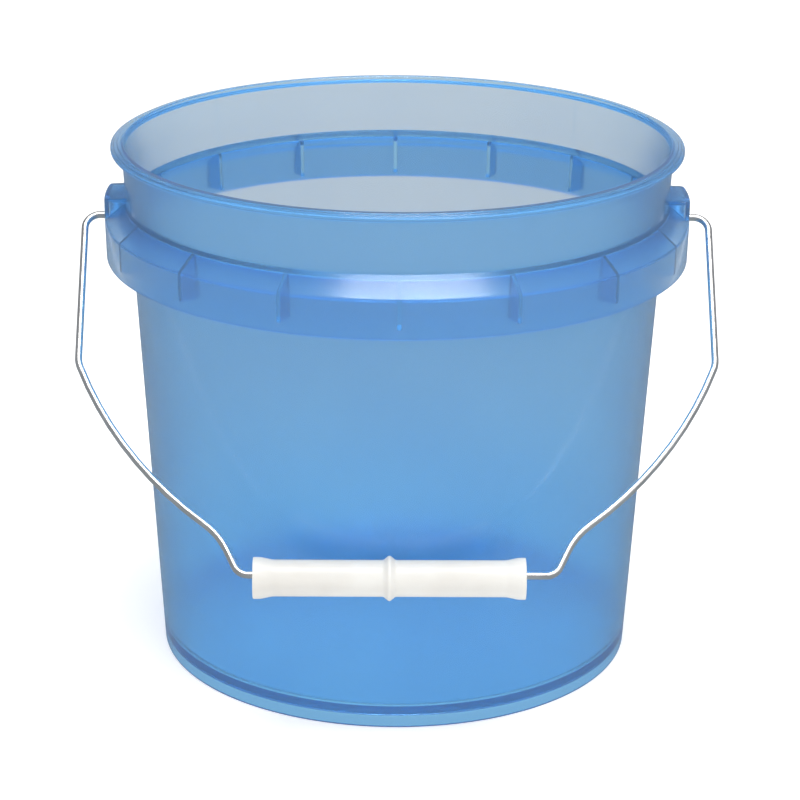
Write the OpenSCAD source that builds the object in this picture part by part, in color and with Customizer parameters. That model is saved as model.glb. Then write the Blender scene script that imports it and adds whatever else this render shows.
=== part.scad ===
// Round wash bucket: one-piece moulded tub with a ribbed collar and two hollow ears,
// a bent steel wire bail hooked through the ears, and a moulded grip that turns on the wire.
// Millimetres, +Z up. Origin: centre of the foot ring, on the surface the bucket stands on.
// The ears lie on the X axis and the bail hangs at the front, towards -Y.

/* [Tub] */
// Diameter across the foot ring
base_d = 169.6; // [160:0.2:175]
// Outward slope of the side wall, as radius gained per millimetre of height
wall_slope = 0.057; // [0.045:0.001:0.06]
// Full height to the top of the rim
tub_h = 186.5; // [184:0.5:200]
// Thickness of the side wall
wall_t = 1.8; // [1.4:0.1:2.2]
// Height of the floor's underside above the foot ring's resting edge
foot_h = 4.5; // [3:0.5:8]
// Thickness of the floor
floor_t = 2.5; // [2:0.1:4]
// Radius between the floor and the side wall, inside
floor_r = 3; // [1:0.5:5]

/* [Rim and neck] */
// Diameter across the rim
rim_d = 200; // [198:0.5:206]
// Thickness of the rim's lip
rim_t = 2.5; // [2.2:0.1:3.5]
// Diameter of the neck where it rises from the collar
neck_d = 190.4; // [189.6:0.2:191]
// Diameter of the neck just under the rim
neck_top_d = 192.4; // [191.6:0.2:193]

/* [Collar] */
// Diameter at the collar's upper corner
collar_d = 205.2; // [204:0.2:207]
// Height of the line where the collar's shoulder leaves the neck
crease_z = 165.5; // [165:0.5:168]
// Height of the collar's upper corner
corner_z = 159.3; // [158:0.1:160]
// Height of the collar's lower edge
skirt_z = 145.7; // [140:0.1:147]
// Thickness of the collar's skirt and shoulder
skirt_t = 1.6; // [1.2:0.1:1.8]
// Number of rib places round the collar; the two at the ears stay empty
rib_n = 16; // [8:8:32]
// Thickness of a rib
rib_t = 1.4; // [1:0.1:2]
// Height of the ribs' lower ends
rib_z = 149; // [147:0.5:152]

/* [Ears] */
// Width of an ear, along Y
ear_w = 22; // [18:0.5:24]
// Height of an ear's flat top
ear_z = 166.7; // [166:0.1:168]
// Radius of an ear's two upright corners
ear_corner = 2; // [1.5:0.1:2.5]
// Radius of the edge between an ear's top and its outer face
ear_round = 0.8; // [0.5:0.1:1]
// Height of the bail's hinge axis
hinge_z = 158; // [157:0.1:158.5]
// Diameter of the wire's hole through the ear
hole_d = 3.9; // [3.5:0.1:4.5]

/* [Bail] */
// Diameter of the wire
wire_d = 2.5; // [2.2:0.1:2.6]
// Angle between the hanging bail and straight down
bail_tilt = 45; // [45:0.5:50]
// Distance from the middle of the bucket to the inner end of the hinge stub
stub_x = 101; // [100.8:0.1:101.2]
// Length of the hinge stub, which runs through the ear
stub_len = 3.6; // [3.4:0.1:4.5]
// Length of the hooked end inside the ear, below its bend
hook_len = 3.4; // [2.5:0.1:3.6]
// Length of the straight part of a leg
leg_len = 50.9; // [50.8:0.1:52]
// Radius of the long curve along the side of the tub
side_r = 138; // [130:1:150]

/* [Grip] */
// Length of the grip
grip_len = 90.4; // [80:0.2:91]
// Diameter of the grip's body
grip_d = 12.2; // [11:0.1:13]
// Diameter of the two flared ends
grip_end_d = 13.9; // [13:0.1:14.5]
// Diameter of the bead in the middle
bead_d = 15; // [14:0.1:15.2]
// Width of the bead
bead_w = 5; // [4:0.5:8]
// Diameter of the bore that the wire passes through
bore_d = 5; // [5:0.1:5.6]
// How far the loose grip hangs below the wire's own axis
grip_drop = 1.1; // [0:0.1:1.1]
// How far the grip has slid along the wire, towards +X
grip_x = -2.6; // [-2.6:0.1:2.6]

/* [Hidden] */
$fn = 64;

base_r = base_d / 2;
rim_r = rim_d / 2;
neck_r = neck_d / 2;
neck_top_r = neck_top_d / 2;
collar_r = collar_d / 2;
rim_z = tub_h - rim_t;
floor_z = foot_h + floor_t;
skirt_lean = 0.3;                         // the skirt is this much narrower at its lower edge
skirt_r = collar_r - skirt_lean;
step_z = crease_z - 3.5;                  // the inside steps out here, from wall to neck
under_z = crease_z - 2.1;                 // the shoulder's underside meets the wall here
rim_round = 1.15;
edge_round = 0.5;
corner_round = 1.2;
web_t = 1.5;                              // thickness of an ear's side webs and top
ear_cut = 10;                             // depth of the blocks that trim an ear to its width
ear_in_w = ear_w - 2 * web_t;
ear_in_z = ear_z - web_t;

// Radius of the side wall's outer face at height z
function wall_r(z) = base_r + wall_slope * z;
// Radius of the skirt's outer face at height z
function skirt_face_r(z) = skirt_r + skirt_lean * (z - skirt_z) / (corner_z - skirt_z);
// Points of an arc round c, from angle a to angle b
function on_circle(r, a) = r * [cos(a), sin(a)];
function arc(c, r, a, b, n = 6) = [for (i = [0:n]) c + on_circle(r, a + (b - a) * i / n)];

// Half section of the tub: floor, foot ring, wall, collar, neck and rim in one outline
tub_section = concat(
    [[0, foot_h], [wall_r(foot_h) - wall_t, foot_h], [base_r - wall_t, 0]],
    arc([base_r - edge_round, edge_round], edge_round, -90, 0),
    [[wall_r(under_z), under_z], [collar_r - skirt_t, corner_z - 0.9], [skirt_r - skirt_t, skirt_z]],
    arc([skirt_r - edge_round, skirt_z + edge_round], edge_round, -90, 0),
    arc([collar_r - corner_round, corner_z - 0.5], corner_round, 2, 50),
    [[neck_r, crease_z], [neck_top_r, rim_z]],
    arc([rim_r - rim_round, rim_z + rim_round], rim_round, -90, 0),
    arc([rim_r - rim_round, tub_h - rim_round], rim_round, 0, 90),
    arc([neck_top_r - 0.3, tub_h - 0.6], 0.6, 90, 180),
    [[neck_top_r - wall_t, rim_z - 1], [neck_r - wall_t, crease_z]],
    [[wall_r(step_z) - wall_t, step_z]],
    arc([wall_r(floor_z) - wall_t - floor_r, floor_z + floor_r], floor_r, 0, -90),
    [[0, floor_z]]
);

// A rib fills the hollow between wall and skirt, and sinks into the plates round it
rib_outline = [
    [wall_r(rib_z) - wall_t / 2, rib_z],
    [skirt_face_r(rib_z) - skirt_t / 2, rib_z],
    [collar_r - skirt_t / 2, corner_z - 0.5],
    [neck_r, crease_z - 1],
    [wall_r(under_z) - wall_t / 2, under_z]
];

// The ear carries the skirt's face up past the shoulder to a flat top
ear_outline = concat(
    [[neck_r - wall_t / 2, corner_z], [collar_r - skirt_t, corner_z]],
    [[collar_r - skirt_t / 2, corner_z - 1], [collar_r, corner_z]],
    arc([collar_r - ear_round, ear_z - ear_round], ear_round, 0, 90, 4),
    [[neck_r - wall_t / 2, ear_z]]
);

// The hollow inside an ear, open below
ear_hollow = [
    [wall_r(skirt_z - 1), skirt_z - 1],
    [skirt_face_r(skirt_z - 1) - skirt_t, skirt_z - 1],
    [collar_r - skirt_t, corner_z],
    [collar_r - skirt_t, ear_in_z],
    [neck_r, ear_in_z],
    [wall_r(under_z), under_z]
];

// Half plan of an ear, with its rounded upright corner; it ends past the outer face
corner_y = ear_w / 2 - ear_corner;
corner_x = sqrt(pow(collar_r - ear_corner, 2) - pow(corner_y, 2));
ear_plan = concat(
    [[neck_r - ear_cut, 0], [neck_r - ear_cut, ear_w / 2]],
    arc([corner_x, corner_y], ear_corner, 90, 30, 2),
    [[corner_x + ear_corner * 1.05, corner_y - ear_corner * 0.2]],
    [[collar_r + ear_cut, corner_y - ear_corner], [collar_r + ear_cut, 0]]
);
ear_plan_other = [for (i = [len(ear_plan) - 2:-1:1]) [ear_plan[i][0], -ear_plan[i][1]]];
trim_z = skirt_z - 5;                     // the trimming blocks start here, below the skirt
trim_h = 30;

module ring_sector(outline, width) {
    intersection() {
        rotate_extrude() polygon(outline);
        translate([neck_r - ear_cut, -width / 2, trim_z]) cube([2 * ear_cut, width, trim_h]);
    }
}

module ear_block() {
    intersection() {
        rotate_extrude() polygon(ear_outline);
        translate([0, 0, trim_z]) linear_extrude(trim_h) polygon(concat(ear_plan, ear_plan_other));
    }
}

module rib() {
    translate([0, rib_t / 2, 0]) rotate([90, 0, 0]) linear_extrude(rib_t) polygon(rib_outline);
}

module ribs() {
    for (i = [0:rib_n - 1]) {
        if (i % (rib_n / 2) != 0) rotate([0, 0, i * 360 / rib_n]) rib();
    }
}

module wire_hole() {
    translate([collar_r - 5, 0, hinge_z]) rotate([0, 90, 0]) cylinder(h = 10, d = hole_d);
}

module tub() {
    color([0.36, 0.62, 0.86, 0.75]) difference() {
        union() {
            rotate_extrude() polygon(tub_section);
            ribs();
            for (side = [0, 180]) rotate([0, 0, side]) ear_block();
        }
        for (side = [0, 180]) rotate([0, 0, side]) {
            ring_sector(ear_hollow, ear_in_w);
            wire_hole();
        }
    }
}

// The wire is a run of steps, each a straight length, then a bend of a radius and an angle,
// in the bail's own plane: X as on the bucket, Y the distance from the hinge axis.
stub_end = [stub_x + stub_len, 0, 0];
stub_turn = 90.3;
kink_turn = 21.7;
side_turn = 30.8;
back_turn = -27.1;
leg_steps = [
    [0, 5.2, stub_turn],
    [leg_len, 10, kink_turn],
    [0, side_r, side_turn],
    [0, 25, back_turn],
    [6.7, 5.1, 180 - stub_turn - kink_turn - side_turn - back_turn]
];
hook_r = 2.2;
hook_tip = [stub_x - hook_r, -hook_r - hook_len, 90];
hook_steps = [[hook_len, hook_r, -90]];
wire_sides = 12;
wire_ring_r = wire_d / 2 - 0.01;          // the bent stretches end just inside the round pins
lap = 0.2;                                // and reach this far into them

// The place and heading, [x, y, heading], at which a step ends
function step_end(step, at) = let (turn = sign(step[2]), h = at[2], g = at[2] + step[2]) [
    at[0] + step[0] * cos(h) + turn * step[1] * (sin(g) - sin(h)),
    at[1] + step[0] * sin(h) + turn * step[1] * (cos(h) - cos(g)),
    g
];
function run_end(steps, at, i = 0) =
    i == len(steps) ? at : run_end(steps, step_end(steps[i], at), i + 1);
// A bend is cut into short chords, by its angle and by its length
function cuts(step) = max(2, ceil(abs(step[2]) / 12), ceil(step[1] * abs(step[2]) / 400));
function part_turn(step, share) = [step[0], step[1], step[2] * share];
function first_cut(step) = step[0] > 0 ? 0 : 1;
function step_places(step, at) = let (n = cuts(step))
    [for (k = [first_cut(step):n]) step_end(part_turn(step, k / n), at)];
function stations(steps, at, i = 0) = i == len(steps) ? [] : concat(
    step_places(steps[i], at),
    stations(steps, step_end(steps[i], at), i + 1)
);
handle = run_end(leg_steps, stub_end);    // where the straight under the grip begins
handle_x = handle[0];
bail_len = handle[1];                     // from the hinge axis to the grip's axis

// A ring of points round the wire at each station
function ring(at) = [for (j = [0:wire_sides - 1]) let (a = 360 * j / wire_sides, w = wire_ring_r * cos(a))
    [at[0] - w * sin(at[2]), at[1] + w * cos(at[2]), wire_ring_r * sin(a)]];
function band(i) = [for (j = [0:wire_sides - 1]) let (k = (j + 1) % wire_sides)
    [i * wire_sides + j, (i + 1) * wire_sides + j, (i + 1) * wire_sides + k, i * wire_sides + k]];

module bent_wire(places) {
    last = len(places) - 1;
    polyhedron(
        [for (at = places) each ring(at)],
        concat(
            [[for (j = [0:wire_sides - 1]) j]],
            [for (i = [0:last - 1]) each band(i)],
            [[for (j = [wire_sides - 1:-1:0]) last * wire_sides + j]]
        )
    );
}

module half_bail() {
    reach = [lap, 0, 0];
    bent_wire(concat([hook_tip], stations(hook_steps, hook_tip), [[stub_x, 0, 0] + reach]));
    translate([stub_x, 0, 0]) rotate([0, 90, 0]) cylinder(h = stub_len, d = wire_d);
    bent_wire(concat([stub_end - reach, stub_end], stations(leg_steps, stub_end), [handle - reach]));
}

// Turns the bail's own plane about the hinge axis, down and to the front
module on_bail() {
    translate([0, 0, hinge_z]) rotate([-90 - bail_tilt, 0, 0]) children();
}

module bail() {
    color([0.72, 0.71, 0.68]) on_bail() {
        half_bail();
        mirror([1, 0, 0]) half_bail();
        translate([-handle_x, bail_len, 0]) rotate([0, 90, 0]) cylinder(h = 2 * handle_x, d = wire_d);
    }
}

// Half outline of the grip, along its axis: end flare, taper, body and half of the bead
end_len = 3.5;
taper_len = 3;
grip_round = 0.6;
bead_round = 1.2;
grip_section = concat(
    [[0, 0]],
    [[bead_d / 2, 0]],
    arc([bead_d / 2 - bead_round, bead_w / 2 - bead_round], bead_round, 0, 90),
    [[grip_d / 2, bead_w / 2], [grip_d / 2, grip_len / 2 - end_len - taper_len]],
    [[grip_end_d / 2, grip_len / 2 - end_len]],
    arc([grip_end_d / 2 - grip_round, grip_len / 2 - grip_round], grip_round, 0, 90),
    [[0, grip_len / 2]]
);

module grip() {
    color([0.95, 0.94, 0.92]) translate([0, 0, -grip_drop]) on_bail()
        translate([grip_x, bail_len, 0]) rotate([0, 90, 0]) difference() {
            union() {
                rotate_extrude() polygon(grip_section);
                mirror([0, 0, 1]) rotate_extrude() polygon(grip_section);
            }
            translate([0, 0, -grip_len]) cylinder(h = 2 * grip_len, d = bore_d);
        }
}

tub();
bail();
grip();
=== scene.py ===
# Wash bucket: translucent tub, wire bail and white grip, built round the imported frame.
# Metres, +Z up. The ears lie on the X axis and the bail hangs at the front, towards -Y.
import bpy
import bmesh
import math
from mathutils import Matrix, Vector


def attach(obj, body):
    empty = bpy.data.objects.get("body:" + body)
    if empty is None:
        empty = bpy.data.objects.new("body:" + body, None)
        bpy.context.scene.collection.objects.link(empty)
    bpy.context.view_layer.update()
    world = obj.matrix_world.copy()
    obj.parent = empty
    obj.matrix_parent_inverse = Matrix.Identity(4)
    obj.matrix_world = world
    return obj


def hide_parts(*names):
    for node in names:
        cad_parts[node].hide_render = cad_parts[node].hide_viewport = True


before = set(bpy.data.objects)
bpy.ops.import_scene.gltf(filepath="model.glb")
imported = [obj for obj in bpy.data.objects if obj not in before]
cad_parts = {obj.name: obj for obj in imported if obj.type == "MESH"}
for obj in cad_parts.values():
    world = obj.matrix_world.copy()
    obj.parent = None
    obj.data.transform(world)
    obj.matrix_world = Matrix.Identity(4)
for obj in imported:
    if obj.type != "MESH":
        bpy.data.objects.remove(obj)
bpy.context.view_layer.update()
print("frame loaded:", ", ".join(sorted(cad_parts)))

mm = 0.001              # the sizes below are in millimetres


# helpers for meshes

def onCircle(radius, degrees):
    a = math.radians(degrees)
    return (radius * math.cos(a), radius * math.sin(a))


def arc(centre, radius, start, end, parts):
    # points of an arc round centre, from one angle to another, both included
    places = [onCircle(radius, start + (end - start) * i / parts) for i in range(parts + 1)]
    return [(centre[0] + x, centre[1] + y) for x, y in places]


def addOutline(bm, points, closed):
    # a run of vertices joined by edges
    verts = [bm.verts.new(p) for p in points]
    pairs = list(zip(verts, verts[1:]))
    if closed:
        pairs.append((verts[-1], verts[0]))
    return verts + [bm.edges.new(pair) for pair in pairs]


def revolve(outline, steps):
    # turns an outline of (radius, height) in millimetres once round Z, into a closed bmesh
    bm = bmesh.new()
    geom = addOutline(bm, [(r * mm, 0, z * mm) for r, z in outline], closed=outline[0][0] > 0)
    bmesh.ops.spin(bm, geom=geom, cent=(0, 0, 0), axis=(0, 0, 1), angle=math.tau, steps=steps,
                   use_merge=True, use_duplicate=False)
    bmesh.ops.remove_doubles(bm, verts=bm.verts, dist=0.01 * mm)
    bmesh.ops.recalc_face_normals(bm, faces=bm.faces)
    return bm


def slab(points, depth):
    # a flat outline of points, extruded by the vector depth into a closed block
    bm = bmesh.new()
    face = bm.faces.new([bm.verts.new(p) for p in points])
    out = bmesh.ops.extrude_face_region(bm, geom=[face], use_keep_orig=True)
    bmesh.ops.translate(bm, vec=depth, verts=[v for v in out["geom"] if isinstance(v, bmesh.types.BMVert)])
    bmesh.ops.recalc_face_normals(bm, faces=bm.faces)
    return bm


def turned(bm, angle, axis="Z"):
    bmesh.ops.rotate(bm, verts=bm.verts, matrix=Matrix.Rotation(angle, 3, axis))
    return bm


def roundEdges(bm, edges, radius, segments=3):
    bmesh.ops.bevel(bm, geom=edges, offset=radius, offset_type="OFFSET", affect="EDGES",
                    segments=segments, profile=0.5, material=-1, clamp_overlap=True)


def shadeSmooth(mesh, sharpAngle):
    mesh.polygons.foreach_set("use_smooth", [True] * len(mesh.polygons))
    mesh.set_sharp_from_angle(angle=math.radians(sharpAngle))


def makeObject(name, bm, sharpAngle=32):
    mesh = bpy.data.meshes.new(name)
    bm.to_mesh(mesh)
    bm.free()
    shadeSmooth(mesh, sharpAngle)
    obj = bpy.data.objects.new(name, mesh)
    bpy.context.scene.collection.objects.link(obj)
    return obj


def joinMeshes(name, pieces):
    # puts several bmeshes into one object
    whole = bmesh.new()
    for piece in pieces:
        part = bpy.data.meshes.new("part")
        piece.to_mesh(part)
        piece.free()
        whole.from_mesh(part)
        bpy.data.meshes.remove(part)
    return makeObject(name, whole)


def combine(obj, other, operation):
    # an exact boolean with a helper object, applied at once
    mod = obj.modifiers.new("cut", "BOOLEAN")
    mod.operation = operation
    mod.solver = "EXACT"
    mod.object = other
    bpy.context.view_layer.update()
    applied = obj.evaluated_get(bpy.context.evaluated_depsgraph_get())
    mesh = bpy.data.meshes.new_from_object(applied)
    obj.modifiers.clear()
    old = obj.data
    obj.data = mesh
    bpy.data.meshes.remove(old)
    bpy.data.objects.remove(other)


# helpers for materials

def newMaterial(name):
    mat = bpy.data.materials.new(name)
    mat.use_nodes = True
    tree = mat.node_tree
    coords = tree.nodes.new("ShaderNodeTexCoord").outputs["Object"]
    return mat, tree, tree.nodes["Principled BSDF"], coords


def addNoise(tree, coords, scale, detail, stretch=(1, 1, 1)):
    # noise on Object coordinates, stretched along an axis where a finish has a direction
    mapping = tree.nodes.new("ShaderNodeMapping")
    mapping.inputs["Scale"].default_value = stretch
    noise = tree.nodes.new("ShaderNodeTexNoise")
    noise.inputs["Scale"].default_value = scale
    noise.inputs["Detail"].default_value = detail
    tree.links.new(coords, mapping.inputs["Vector"])
    tree.links.new(mapping.outputs["Vector"], noise.inputs["Vector"])
    return noise.outputs["Fac"]


def addRange(tree, value, low, high, spread=(0.3, 0.7)):
    # maps a value from its spread, which is that of noise if none is given, to a working range
    node = tree.nodes.new("ShaderNodeMapRange")
    node.inputs["From Min"].default_value = spread[0]
    node.inputs["From Max"].default_value = spread[1]
    node.inputs["To Min"].default_value = low
    node.inputs["To Max"].default_value = high
    tree.links.new(value, node.inputs["Value"])
    return node.outputs["Result"]


def addMix(tree, fac, first, second):
    # either colour may be a fixed one or the output of another node
    node = tree.nodes.new("ShaderNodeMix")
    node.data_type = "RGBA"
    for name, colour in (("A", first), ("B", second)):
        if isinstance(colour, tuple):
            node.inputs[name].default_value = colour
        else:
            tree.links.new(colour, node.inputs[name])
    tree.links.new(fac, node.inputs["Factor"])
    return node.outputs["Result"]


def addRoughness(tree, value, shader, base, less, more):
    worked = addRange(tree, value, base - less, base + more)
    tree.links.new(worked, shader.inputs["Roughness"])


def addMath(tree, operation, *values):
    node = tree.nodes.new("ShaderNodeMath")
    node.operation = operation
    for place, value in enumerate(values):
        tree.links.new(value, node.inputs[place])
    return node.outputs["Value"]


def addBump(tree, height, distance, strength, normal=None):
    node = tree.nodes.new("ShaderNodeBump")
    node.inputs["Distance"].default_value = distance
    node.inputs["Strength"].default_value = strength
    tree.links.new(height, node.inputs["Height"])
    if normal:
        tree.links.new(normal, node.inputs["Normal"])
    return node.outputs["Normal"]


# view and light

view = {
    "place": (-0.0087, -0.9143, 0.4173),     # in front of the bucket, above its rim
    "pitch": 19.75,                          # degrees down
    "yaw": 0.64,
    "roll": 0.46,
    "fov": 16.94,
}


def makeCamera():
    data = bpy.data.cameras.new("camera")
    data.sensor_fit = "HORIZONTAL"
    data.angle = math.radians(view["fov"])
    cam = bpy.data.objects.new("camera", data)
    bpy.context.scene.collection.objects.link(cam)
    pitch, yaw, roll = [math.radians(view[k]) for k in ("pitch", "yaw", "roll")]
    aim = Vector((math.sin(yaw) * math.cos(pitch), math.cos(yaw) * math.cos(pitch), -math.sin(pitch)))
    turn = aim.to_track_quat("-Z", "Y").to_matrix().to_4x4()
    cam.matrix_world = Matrix.Translation(view["place"]) @ turn @ Matrix.Rotation(roll, 4, "Z")
    bpy.context.scene.camera = cam


studio = {
    "white": (1.0, 1.0, 1.0, 1),             # what the camera sees round the bucket
    "soft": (0.82, 0.82, 0.82, 1),           # the light on matt surfaces
    "mirrored": (0.25, 0.27, 0.30, 1),       # the dim room that gloss reflects
    "backdrop": (0.40, 0.86, 1.2, 1),        # the cool backdrop that edges gather
    "floorSize": 6.0,
    "floorColour": (0.76, 0.76, 0.765, 1),
    "floorRoughness": 0.6,
    "floorShine": 0.2,
    "floorGlow": 0.42,
    "floorMirrored": (0.28, 0.33, 0.38, 1),  # the floor in reflections
    "paintedGlowNear": (0.79, 1.0, 0.93, 1),       # painted light: the glow the floor shows through the plastic, under the bucket
    "paintedGlowFar": (1.66, 0.96, 0.69, 1),       # and well away from it
    "nearR": 0.09,
    "farR": 0.30,
    # each light: place, size and power
    "key": ((0.08, -0.3, 1.35), 0.8, 15.0),
    "fill": ((0.6, -0.9, 0.9), 0.7, 1.5),
    "lit": (0, 0, 0.1),                      # the point both lights face
}


def makeLight(name):
    place, size, power = studio[name]
    data = bpy.data.lights.new(name, "AREA")
    data.shape = "DISK"
    data.size = size
    data.energy = power
    light = bpy.data.objects.new(name, data)
    bpy.context.scene.collection.objects.link(light)
    turn = (Vector(studio["lit"]) - Vector(place)).to_track_quat("-Z", "Y").to_matrix().to_4x4()
    light.matrix_world = Matrix.Translation(place) @ turn


def makeWorld():
    # one even studio, with its own tone for each kind of ray
    world = bpy.data.worlds.new("studio")
    world.use_nodes = True
    tree = world.node_tree
    rays = tree.nodes.new("ShaderNodeLightPath").outputs
    tone = addMix(tree, rays["Is Glossy Ray"], studio["soft"], studio["mirrored"])
    tone = addMix(tree, rays["Is Transmission Ray"], tone, studio["backdrop"])
    tone = addMix(tree, rays["Is Camera Ray"], tone, studio["white"])
    tree.links.new(tone, tree.nodes["Background"].inputs["Color"])
    bpy.context.scene.world = world


def glowFor(tree, surface, ray, colour):
    # puts a glow in place of the surface for one kind of ray
    glow = tree.nodes.new("ShaderNodeEmission")
    if isinstance(colour, tuple):
        glow.inputs["Color"].default_value = colour
    else:
        tree.links.new(colour, glow.inputs["Color"])
    mix = tree.nodes.new("ShaderNodeMixShader")
    for place, source in enumerate((ray, surface, glow.outputs["Emission"])):
        tree.links.new(source, mix.inputs[place])
    return mix.outputs["Shader"]


def makeFloor():
    bm = bmesh.new()
    bmesh.ops.create_grid(bm, x_segments=1, y_segments=1, size=studio["floorSize"] / 2)
    floor = makeObject("floor", bm)
    mat, tree, shader, coords = newMaterial("pale floor")
    shader.inputs["Base Color"].default_value = studio["floorColour"]
    shader.inputs["Roughness"].default_value = studio["floorRoughness"]
    shader.inputs["Specular IOR Level"].default_value = studio["floorShine"]
    shader.inputs["Emission Color"].default_value = (1, 1, 1, 1)
    shader.inputs["Emission Strength"].default_value = studio["floorGlow"]
    away = tree.nodes.new("ShaderNodeVectorMath")
    away.operation = "LENGTH"
    tree.links.new(coords, away.inputs[0])
    # painted light: for rays through the plastic the floor glows in place of its own shading, cooler near
    # the bucket and warmer and brighter away from it
    share = addRange(tree, away.outputs["Value"], 0, 1, (studio["nearR"], studio["farR"]))
    glowSeenThrough = addMix(tree, share, studio["paintedGlowNear"], studio["paintedGlowFar"])
    rays = tree.nodes.new("ShaderNodeLightPath").outputs
    surface = glowFor(tree, shader.outputs["BSDF"], rays["Is Glossy Ray"], studio["floorMirrored"])
    surface = glowFor(tree, surface, rays["Is Transmission Ray"], glowSeenThrough)
    tree.links.new(surface, tree.nodes["Material Output"].inputs["Surface"])
    floor.data.materials.append(mat)


makeCamera()
bpy.context.scene.view_settings.view_transform = "Standard"
makeWorld()
makeLight("key")
makeLight("fill")
makeFloor()
print("camera, light and floor made")


# the tub, in millimetres; angles in degrees

tub = {
    "steps": 256,            # facets round the tub
    "baseR": 84.8,           # foot ring's outer radius
    "slope": 0.057,          # the wall's gain in radius per millimetre of height
    "wall": 1.8,
    "wallCuts": (20, 60, 100, 130, 149),
    "insideCuts": (158, 130, 100, 60, 20),
    "footZ": 4.5,            # floor's underside
    "footRound": 0.5,
    "floorZ": 7.0,           # floor's top
    "floorR": 3.0,           # the round between floor and wall
    "creaseZ": 165.5,        # the shoulder leaves the neck here
    "cornerZ": 159.3,        # the shoulder turns into the skirt here
    "cornerR": 1.2,
    "innerR": 0.6,           # the rounds inside the collar
    "skirtZ": 145.7,
    "collarR": 102.6,
    "lean": 0.3,             # how far the skirt draws in towards its lower edge
    "skirt": 1.6,            # thickness of skirt and shoulder
    "neckR": 95.2,
    "neckTopR": 96.2,
    "rimR": 100.0,
    "rimZ": 184.0,
    "topZ": 186.5,
    # the two fine steps up the rim: radius, and depth below its top
    "rimSteps": ((98.8, 1.1), (97.7, 0.58)),
    "ribs": 16,              # places for ribs; the ears take two of them
    "ribT": 1.4,
    "ribZ": 149.0,
    "sunk": 0.6,             # how far a rib is let into wall and skirt
    "earW": 22.0,
    "earZ": 166.7,
    "earInR": 93.6,
    "earCorner": 2.0,
    "earRound": 0.7,
    "web": 1.5,              # thickness of the ear's sides and top
    "hollowCorner": 0.6,
    "hingeZ": 158.0,
    "holeR": 1.95,
    "holeSides": 40,
    "holeDepth": 10.0,
    "sharp": 32,             # degrees above which an edge is shaded sharp
}


def wallR(z):
    return tub["baseR"] + tub["slope"] * z


def skirtR(z):
    t = tub
    return t["collarR"] - t["lean"] * (t["cornerZ"] - z) / (t["cornerZ"] - t["skirtZ"])


def footOutline():
    # from the middle of the underside, down the foot ring's inside and up its outside
    t = tub
    insideR = wallR(t["footZ"]) - t["wall"] - 1.0
    points = [(0, t["footZ"]), (insideR, t["footZ"])]
    points += arc((insideR, t["footZ"] - 1.0), 1.0, 90, 0, 4)
    points += arc((t["baseR"] - t["wall"] + 0.4, 0.4), 0.4, 180, 270, 3)
    return points + arc((t["baseR"] - t["footRound"], t["footRound"]), t["footRound"], -90, 0, 4)


def collarOutline():
    # under the shoulder, down the inside of the skirt and back up to the crease
    t = tub
    underZ = t["creaseZ"] - 2.1
    inner = t["innerR"]
    skirtIn = skirtR(t["skirtZ"]) - t["skirt"]
    points = arc((wallR(underZ - 0.6) + inner, underZ - 0.9), inner, 180, 60, 4)
    points += arc((t["collarR"] - t["skirt"] - inner, t["cornerZ"] - 1.5), inner, 50, 0, 4)
    points += arc((skirtIn + 0.4, t["skirtZ"] + 0.4), 0.4, 180, 270, 3)
    points += arc((skirtR(t["skirtZ"]) - 0.5, t["skirtZ"] + 0.5), 0.5, -90, 0, 4)
    points += arc((t["collarR"] - t["cornerR"], t["cornerZ"] - 0.5), t["cornerR"], 2, 50, 6)
    for out, up in ((0.45, -0.35), (0.1, 0.05), (0.04, 0.6)):
        points.append((t["neckR"] + out, t["creaseZ"] + up))
    return points


def rimOutline():
    # under the lip, round its edge and over the top to the inside
    t = tub
    points = arc((t["neckTopR"] + 0.5, t["rimZ"] - 0.5), 0.5, 180, 90, 4)
    points += arc((t["rimR"] - 0.4, t["rimZ"] + 0.4), 0.4, -90, 0, 4)
    points += arc((t["rimR"] - 0.35, t["topZ"] - 1.45), 0.35, 0, 90, 4)
    for r, depth in t["rimSteps"]:
        z = t["topZ"] - depth
        points += [(r + 0.14, z + 0.02), (r + 0.03, z + 0.1)]
        points += [(r - 0.03, z + 0.42), (r - 0.14, z + 0.52)]
    return points + arc((t["neckTopR"] - 0.3, t["topZ"] - 0.6), 0.6, 90, 180, 4)


def tubOutline():
    t = tub
    stepZ = t["creaseZ"] - 3.5
    neckIn = t["neckR"] - t["wall"]
    floorIn = wallR(t["floorZ"]) - t["wall"] - t["floorR"]
    points = footOutline() + [(wallR(z), z) for z in t["wallCuts"]]
    points += collarOutline() + rimOutline()
    points += [(t["neckTopR"] - t["wall"], t["rimZ"] - 1.0)]
    points += [(neckIn + 0.03, t["creaseZ"] + 0.5), (neckIn, t["creaseZ"])]
    points += [(wallR(stepZ) - t["wall"], stepZ)]
    points += [(wallR(z) - t["wall"], z) for z in t["insideCuts"]]
    points += arc((floorIn, t["floorZ"] + t["floorR"]), t["floorR"], 0, -90, 8)
    return points + [(0, t["floorZ"])]


def ribBlock(angle):
    # one plate between wall and skirt, let into both
    t = tub
    outline = [
        (wallR(t["ribZ"]) - t["sunk"], t["ribZ"] + 0.4),
        (skirtR(t["ribZ"]) - t["skirt"] + t["sunk"], t["ribZ"]),
        (t["collarR"] - t["skirt"] + t["sunk"], t["cornerZ"] - 0.8),
        (t["neckR"] + 0.3, t["creaseZ"] - 0.9),
        (wallR(t["creaseZ"] - 2) - t["sunk"], t["creaseZ"] - 1.2),
    ]
    side = -t["ribT"] / 2 * mm
    bm = slab([(r * mm, side, z * mm) for r, z in outline], (0, t["ribT"] * mm, 0))
    return turned(bm, angle)


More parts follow.
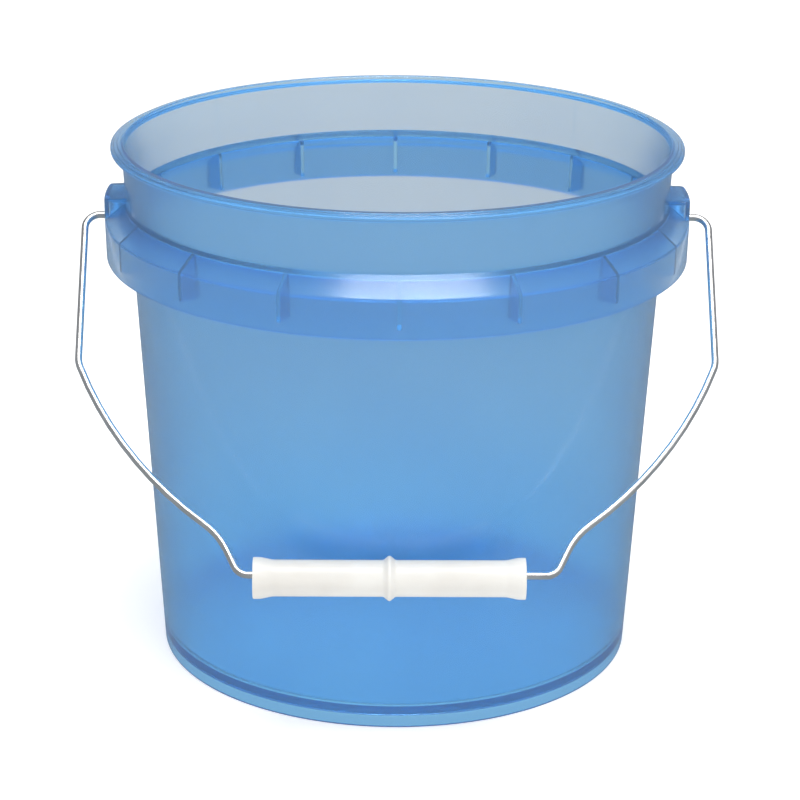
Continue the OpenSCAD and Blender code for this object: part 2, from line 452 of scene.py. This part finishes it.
def ringPlan(inner, outer, halfWidth, corner, parts=12):
    # plan of a sector between two radii with parallel sides and rounded outer corners
    cornerY = halfWidth - corner
    cornerX = math.sqrt((outer - corner) ** 2 - cornerY ** 2)
    reach = math.degrees(math.atan2(cornerY, cornerX))
    rounded = arc((cornerX, cornerY), corner, 90, reach, 6)
    face = [onCircle(outer, reach * (1 - 2 * i / parts)) for i in range(1, parts)]
    inside = math.degrees(math.asin(halfWidth / inner))
    back = [onCircle(inner, inside * (2 * i / parts - 1)) for i in range(parts + 1)]
    return rounded + face + [(x, -y) for x, y in reversed(rounded)] + back


def planBlock(plan, low, high, topRound=0.0):
    bm = slab([(x * mm, y * mm, low * mm) for x, y in plan], (0, 0, (high - low) * mm))
    if topRound:
        # only the top edges that stand clear of the neck
        clear = (tub["neckR"] + 0.4) * mm
        atTop = [e for e in bm.edges if all(abs(v.co.z - high * mm) < 1e-6 for v in e.verts)]
        edges = [e for e in atTop if min(v.co.to_2d().length for v in e.verts) > clear]
        roundEdges(bm, edges, topRound * mm)
    return bm


def wireHole():
    t = tub
    bm = bmesh.new()
    bmesh.ops.create_cone(bm, cap_ends=True, segments=t["holeSides"], radius1=t["holeR"] * mm,
                          radius2=t["holeR"] * mm, depth=t["holeDepth"] * mm)
    # half a facet round, so that no corner falls on the tub's own
    turned(bm, math.pi / t["holeSides"])
    turned(bm, math.pi / 2, "Y")
    bmesh.ops.translate(bm, verts=bm.verts, vec=(t["collarR"] * mm, 0, t["hingeZ"] * mm))
    return bm


def makeTub():
    t = tub
    obj = makeObject("tubShell", revolve(tubOutline(), t["steps"]))
    places = [i for i in range(t["ribs"]) if i % (t["ribs"] // 2)]
    added = [ribBlock(math.tau * i / t["ribs"]) for i in places]
    half = t["earW"] / 2
    earPlan = ringPlan(t["earInR"], t["collarR"] + 0.02, half, t["earCorner"])
    hollowOut = t["collarR"] - t["skirt"] - 0.1
    hollowPlan = ringPlan(t["neckR"] + 0.1, hollowOut, half - t["web"], t["hollowCorner"])
    cut = []
    for side in (0, math.pi):
        ear = planBlock(earPlan, t["cornerZ"] - 0.7, t["earZ"], t["earRound"])
        hollow = planBlock(hollowPlan, t["cornerZ"] - 2.3, t["earZ"] - t["web"])
        added.append(turned(ear, side))
        cut += [turned(hollow, side), turned(wireHole(), side)]
    combine(obj, joinMeshes("tubAdded", added), "UNION")
    for piece in cut:
        combine(obj, makeObject("tubCut", piece), "DIFFERENCE")
    shadeSmooth(obj.data, t["sharp"])
    return obj


tubFinish = {
    "colour": (0.42, 0.705, 0.95, 1),
    "deep": (0.39, 0.67, 0.935, 1),
    "foot": (0.28, 0.49, 0.79, 1),           # painted shade: the foot ring drawn darker
    "footBand": (0.0035, 0.0065),            # and where the painted shade fades, in metres
    "seam": (0.36, 0.655, 0.93, 1),          # where the parts of the mould met
    "seamHalf": (0.0001, 0.0004),
    "seamLow": (0.1655, 0.1665),
    "roughness": 0.2,
    "ior": 1.49,
    "transmission": 0.88,
    "dye": (0.0, 0.68, 0.985, 1),            # what colours the light in thick places
    "density": 95.0,
    "cloudScale": 14,
    "satinScale": 60,
    "flowScale": 25,
    "grainScale": 900,
}


def seamOffset(tree, coords, side):
    # how far a place is from one of the mould's two parting planes
    half = math.sqrt(0.5)
    dot = tree.nodes.new("ShaderNodeVectorMath")
    dot.operation = "DOT_PRODUCT"
    dot.inputs[1].default_value = (half, half * side, 0)
    tree.links.new(coords, dot.inputs[0])
    return addMath(tree, "ABSOLUTE", dot.outputs["Value"])


def tubTone(tree, coords):
    # a faint cloudiness, painted shade on the foot ring and fine parting lines on the neck
    f = tubFinish
    cloud = addRange(tree, addNoise(tree, coords, f["cloudScale"], 4), 0, 1)
    tone = addMix(tree, cloud, f["colour"], f["deep"])
    apart = tree.nodes.new("ShaderNodeSeparateXYZ")
    tree.links.new(coords, apart.inputs[0])
    # painted shade: darker towards the bottom, over the foot ring
    low = addRange(tree, apart.outputs["Z"], 1, 0, f["footBand"])
    tone = addMix(tree, low, tone, f["foot"])
    offsets = [seamOffset(tree, coords, side) for side in (1, -1)]
    seam = addRange(tree, addMath(tree, "MINIMUM", *offsets), 1, 0, f["seamHalf"])
    above = addRange(tree, apart.outputs["Z"], 0, 1, f["seamLow"])
    return addMix(tree, addMath(tree, "MULTIPLY", seam, above), tone, f["seam"])


def tubPlastic():
    f = tubFinish
    mat, tree, shader, coords = newMaterial("blue translucent plastic")
    tree.links.new(tubTone(tree, coords), shader.inputs["Base Color"])
    satin = addNoise(tree, coords, f["satinScale"], 3)
    addRoughness(tree, satin, shader, f["roughness"], 0.03, 0.03)
    flow = addNoise(tree, coords, f["flowScale"], 2, stretch=(1, 1, 0.25))
    grain = addNoise(tree, coords, f["grainScale"], 2)
    waves = addBump(tree, flow, 0.0006, 0.25)
    tree.links.new(addBump(tree, grain, 0.00002, 0.3, waves), shader.inputs["Normal"])
    shader.inputs["IOR"].default_value = f["ior"]
    shader.inputs["Transmission Weight"].default_value = f["transmission"]
    volume = tree.nodes.new("ShaderNodeVolumeAbsorption")
    volume.inputs["Color"].default_value = f["dye"]
    volume.inputs["Density"].default_value = f["density"]
    tree.links.new(volume.outputs["Volume"], tree.nodes["Material Output"].inputs["Volume"])
    return mat


tubPiece = makeTub()
tubPiece.name = "tubBody"
tubPiece.data.materials.clear()
tubPiece.data.materials.append(tubPlastic())
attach(tubPiece, "tub")
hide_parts("tub")
print("tub made:", len(tubPiece.data.polygons), "faces")


# the bail, in millimetres and degrees

bail = {
    "wireR": 1.25,
    "sides": 24,             # facets round the wire
    "tilt": 45.0,            # degrees from straight down
    "stubX": 101.0,          # where the hinge pin starts, inside the ear
    "stub": 3.58,
    "hook": 3.4,
    "hookR": 2.2,
    # the rounding of a cut end: how far along, and the share of the radius there
    "ends": ((0.0, 0.6), (0.12, 0.88), (0.4, 1.0)),
    "sharp": 40,
    # each step: straight length, then a bend's radius and angle
    "leg": [(0, 5.2, 90.3), (50.9, 10, 21.7), (0, 138, 30.8), (0, 25, -27.1), (6.7, 5.1, 64.3)],
}


def walk(steps, place, heading, chord=9.0):
    # follows straights and bends in the bail's own plane; a point and heading at each cut
    out = [(place, heading)]
    for straight, radius, turn in steps:
        if straight:
            along = (math.cos(heading), math.sin(heading))
            place = (place[0] + straight * along[0], place[1] + straight * along[1])
            out.append((place, heading))
        r = math.copysign(radius, turn)
        centre = (place[0] - r * math.sin(heading), place[1] + r * math.cos(heading))
        length = radius * math.radians(abs(turn))
        cuts = max(2, math.ceil(abs(turn) / 6), math.ceil(length / chord))
        for i in range(1, cuts + 1):
            h = heading + math.radians(turn) * i / cuts
            out.append(((centre[0] + r * math.sin(h), centre[1] - r * math.cos(h)), h))
        place, heading = out[-1]
    return out


def bailPath():
    # one half is walked from the hooked tip to the middle; the other mirrors it, end to end
    b = bail
    tip = (b["stubX"] - b["hookR"], -b["hookR"] - b["hook"])
    half = walk([(b["hook"], b["hookR"], -90)], tip, math.pi / 2)
    half += walk(b["leg"], (b["stubX"] + b["stub"], 0), 0.0)
    return half + [((-x, y), -h) for (x, y), h in reversed(half)]


def onBail(x, y, z=0.0):
    # from the bail's own plane to the bucket's frame, in millimetres
    a = math.radians(-90 - bail["tilt"])
    up = y * math.sin(a) + z * math.cos(a)
    return Vector((x, y * math.cos(a) - z * math.sin(a), tub["hingeZ"] + up))


def wireRing(place, heading, squeeze=1.0, shift=0.0):
    # the wire's round section at one place of its path
    x = place[0] + shift * math.cos(heading)
    y = place[1] + shift * math.sin(heading)
    ring = []
    for i in range(bail["sides"]):
        across, up = onCircle(bail["wireR"] * squeeze, 360 * i / bail["sides"])
        ring.append(onBail(x - across * math.sin(heading), y + across * math.cos(heading), up) * mm)
    return ring


def sweepWire(path):
    # the section extruded from place to place, with rounded cut ends
    ends = bail["ends"]
    stations = [wireRing(*path[0], share, shift) for shift, share in ends]
    stations += [wireRing(*place) for place in path[1:-1]]
    stations += [wireRing(*path[-1], share, -shift) for shift, share in reversed(ends)]
    bm = bmesh.new()
    disc = bmesh.ops.create_circle(bm, cap_ends=True, segments=bail["sides"],
                                   radius=bail["wireR"] * mm)
    ring = disc["verts"]
    for v, co in zip(ring, stations[0]):
        v.co = co
    for target in stations[1:]:
        edges = [bm.edges.get((ring[i], ring[i - 1])) for i in range(len(ring))]
        out = bmesh.ops.extrude_edge_only(bm, edges=edges)
        follow = {}
        for v in out["geom"]:
            if isinstance(v, bmesh.types.BMVert):
                follow.update({e.other_vert(v): v for e in v.link_edges})
        ring = [follow[v] for v in ring]
        for v, co in zip(ring, target):
            v.co = co
    bm.faces.new(ring)
    bmesh.ops.recalc_face_normals(bm, faces=bm.faces)
    return bm


bailFinish = {
    "colour": (0.90, 0.88, 0.85, 1),
    "dull": (0.72, 0.70, 0.66, 1),
    "dullScale": 90,
    "roughness": 0.34,
    "rubScale": 400,
    "drawScale": 700,
}


def steelWire():
    f = bailFinish
    mat, tree, shader, coords = newMaterial("bright drawn wire")
    patches = addRange(tree, addNoise(tree, coords, f["dullScale"], 4), 0, 1)
    tree.links.new(addMix(tree, patches, f["colour"], f["dull"]), shader.inputs["Base Color"])
    shader.inputs["Metallic"].default_value = 1.0
    addRoughness(tree, addNoise(tree, coords, f["rubScale"], 3), shader, f["roughness"], 0.05, 0.09)
    draw = addNoise(tree, coords, f["drawScale"], 2)
    tree.links.new(addBump(tree, draw, 0.00001, 0.12), shader.inputs["Normal"])
    return mat


bailPiece = makeObject("bailWire", sweepWire(bailPath()), bail["sharp"])
bailPiece.data.materials.append(steelWire())
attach(bailPiece, "bail")
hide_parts("bail")
print("bail made:", len(bailPiece.data.polygons), "faces")


# the grip, in millimetres

grip = {
    "length": 90.4,
    "bodyR": 6.1,
    "endR": 6.95,
    "endRound": 0.3,
    "beadR": 7.5,
    "beadRound": 0.9,
    "beadW": 5.0,
    "boreR": 2.5,
    "boreRound": 0.35,
    "slid": -2.6,            # how far it has slid along the wire
    "drop": 1.1,             # how far it hangs below the wire's axis
    "steps": 96,
    "sharp": 40,
    # how far out the bead's foot and the flare stand, and where along the grip
    "beadFoot": ((0.55, -1.1), (0.22, -0.8), (0.06, -0.4), (0, 0.1)),
    "flareStart": ((0, 7.2), (0.06, 6.2), (0.3, 5.0)),
    "flareEnd": ((0.2, 3.4), (0.03, 2.4), (0, 1.6)),
}


def gripOutline():
    # closed outline of (radius, place along the axis)
    g = grip
    half = g["length"] / 2
    side = arc((g["beadR"] - g["beadRound"], 0), g["beadRound"], 8, 55, 5)
    side += [(g["bodyR"] + out, g["beadW"] / 2 + along) for out, along in g["beadFoot"]]
    side += [(g["bodyR"] + out, half - along) for out, along in g["flareStart"]]
    side += [(g["endR"] - out, half - along) for out, along in g["flareEnd"]]
    side += arc((g["endR"] - g["endRound"], half - g["endRound"]), g["endRound"], 0, 90, 4)
    side += arc((g["boreR"] + g["boreRound"], half - g["boreRound"]), g["boreRound"], 90, 180, 3)
    return side + [(r, -z) for r, z in reversed(side)]


def makeGrip():
    g = grip
    bm = turned(revolve(gripOutline(), g["steps"]), math.pi / 2, "Y")
    path = bailPath()
    straight = path[len(path) // 2 - 1][0]
    middle = onBail(g["slid"], straight[1]) - Vector((0, 0, g["drop"]))
    bmesh.ops.translate(bm, verts=bm.verts, vec=middle * mm)
    return makeObject("gripSleeve", bm, g["sharp"])


gripFinish = {
    "colour": (0.69, 0.68, 0.645, 1),
    "warm": (0.62, 0.60, 0.56, 1),
    "warmScale": 45,
    "roughness": 0.42,
    "rubScale": 160,
    "grainScale": 1400,
    "swellScale": 120,
    "glowThrough": 0.15,                     # share of light that spreads under the surface
    "glowDepth": (0.002, 0.0018, 0.0015),
}


def gripPlastic():
    f = gripFinish
    mat, tree, shader, coords = newMaterial("white satin plastic")
    tone = addRange(tree, addNoise(tree, coords, f["warmScale"], 4), 0, 1)
    tree.links.new(addMix(tree, tone, f["colour"], f["warm"]), shader.inputs["Base Color"])
    addRoughness(tree, addNoise(tree, coords, f["rubScale"], 3), shader, f["roughness"], 0.06, 0.08)
    grain = addNoise(tree, coords, f["grainScale"], 3)
    wave = addBump(tree, addNoise(tree, coords, f["swellScale"], 2), 0.0002, 0.25)
    tree.links.new(addBump(tree, grain, 0.00008, 0.5, wave), shader.inputs["Normal"])
    shader.inputs["Subsurface Weight"].default_value = f["glowThrough"]
    shader.inputs["Subsurface Radius"].default_value = f["glowDepth"]
    shader.inputs["Subsurface Scale"].default_value = 1.0
    return mat


gripPiece = makeGrip()
gripPiece.data.materials.append(gripPlastic())
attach(gripPiece, "grip")
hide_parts("grip")
print("grip made:", len(gripPiece.data.polygons), "faces")
